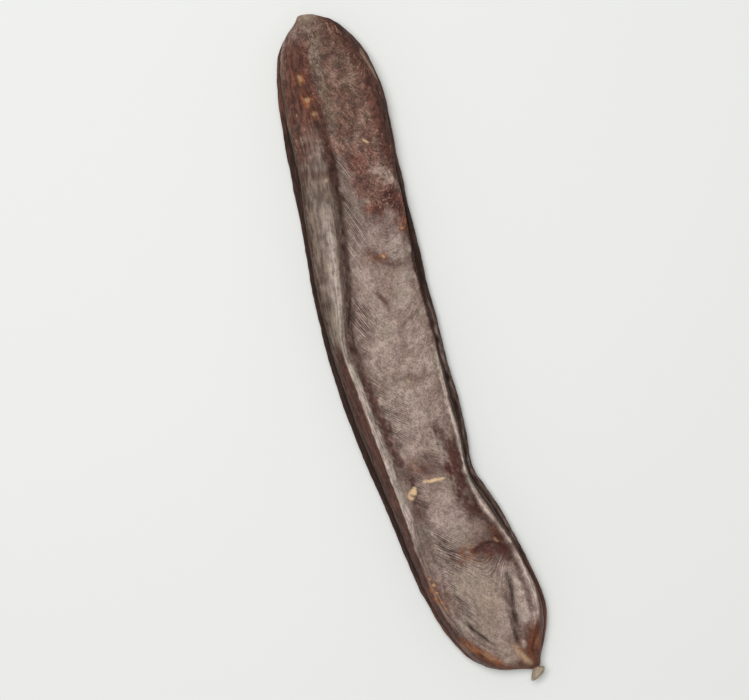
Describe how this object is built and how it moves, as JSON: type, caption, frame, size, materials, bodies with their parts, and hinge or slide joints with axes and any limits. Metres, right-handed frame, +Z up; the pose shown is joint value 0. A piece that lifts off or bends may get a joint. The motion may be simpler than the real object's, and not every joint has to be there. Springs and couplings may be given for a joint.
{
  "type": "carob pod",
  "caption": "Ripe, dried carob pod lying on a broad side: long, flat and gently bent, dark brown, with thick seamed edges round sunken faces.",
  "frame": {"origin": "middle of the pod's length and width, on the surface that it lies on", "axes": "+X along the pod from the stalk scar to the dried style, +Z up from the surface, +Y across it towards the edge with the deep notch"},
  "size_m": [0.1736, 0.0344, 0.012],
  "materials": {
    "skin": "waxy, leathery, satin"
  },
  "bodies": {
    "root": {"pod": "skin"}
  },
  "joints": []
}
